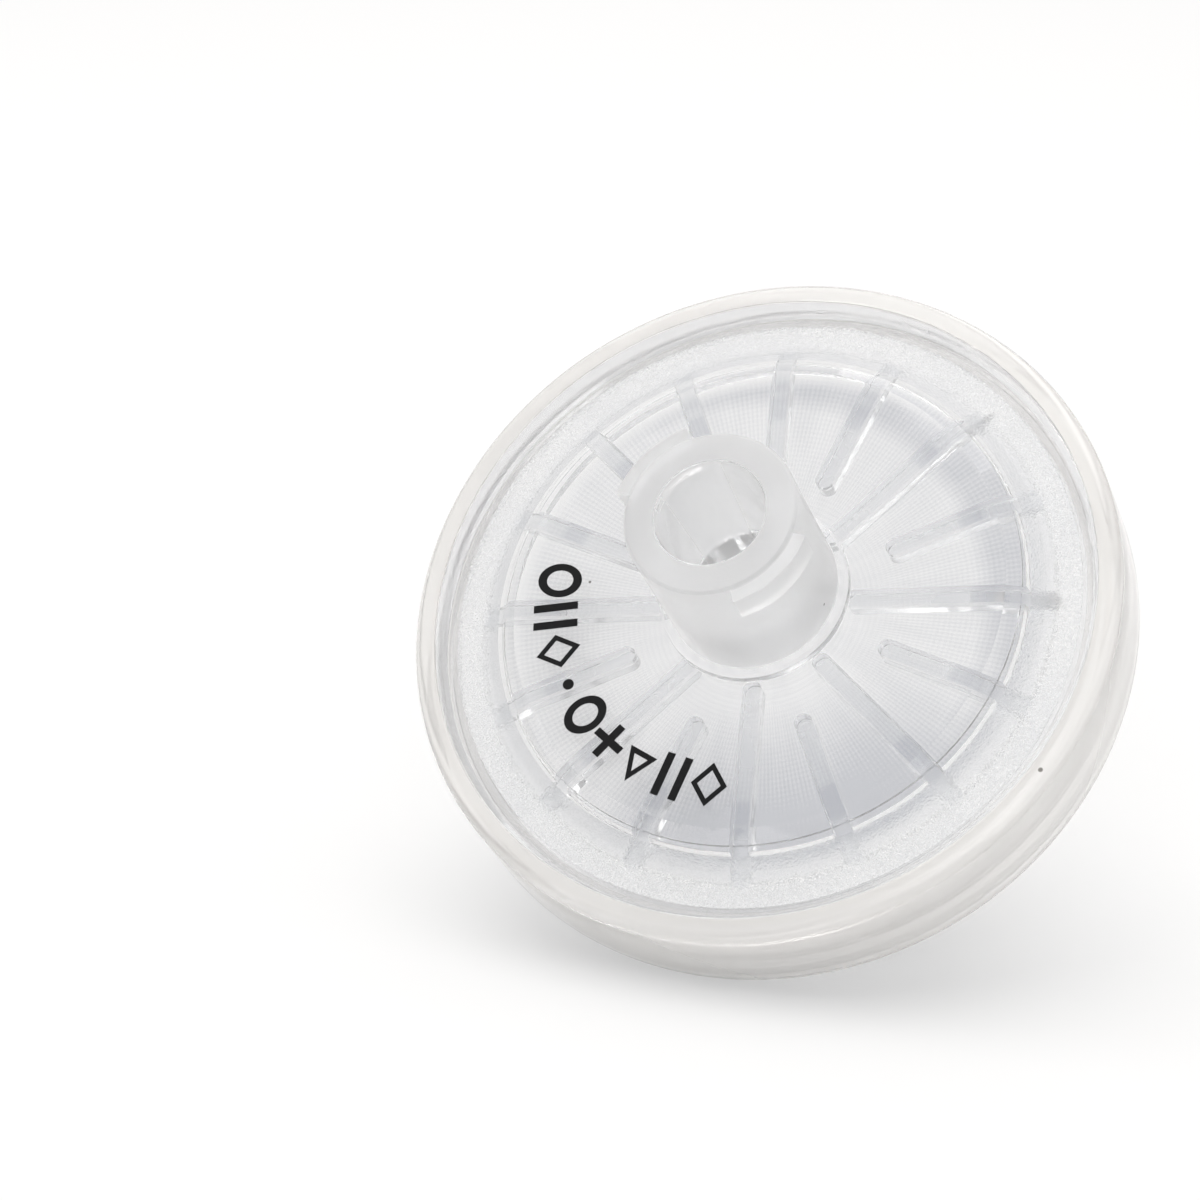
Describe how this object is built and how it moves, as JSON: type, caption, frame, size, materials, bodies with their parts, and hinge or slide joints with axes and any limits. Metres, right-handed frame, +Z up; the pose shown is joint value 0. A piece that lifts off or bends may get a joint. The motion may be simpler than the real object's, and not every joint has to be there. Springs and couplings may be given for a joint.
{
  "type": "syringe filter",
  "caption": "Clear disc filter with a female Luer lock inlet hub, ribbed window, clamped membrane and male Luer slip outlet, lying on its rim and tip.",
  "frame": {"origin": "middle of the bounding box's bottom, on the bench that the lying filter rests on", "axes": "+Z up from the bench, -Y the way the inlet leans, +X level across the disc"},
  "size_m": [0.0282, 0.0232, 0.0232],
  "materials": {
    "clear_polypropylene": "clear moulded polypropylene, frosted on the hub and in the groove",
    "milky_polypropylene": "slightly milky over-moulded polypropylene",
    "membrane_white": "thin matt white polymer membrane",
    "print_black": "black pad print on the window, carried by the visual model alone"
  },
  "bodies": {
    "root": {"inlet_housing": "clear_polypropylene", "outlet_housing": "clear_polypropylene", "sealing_ring": "milky_polypropylene", "membrane": "membrane_white"}
  },
  "joints": []
}
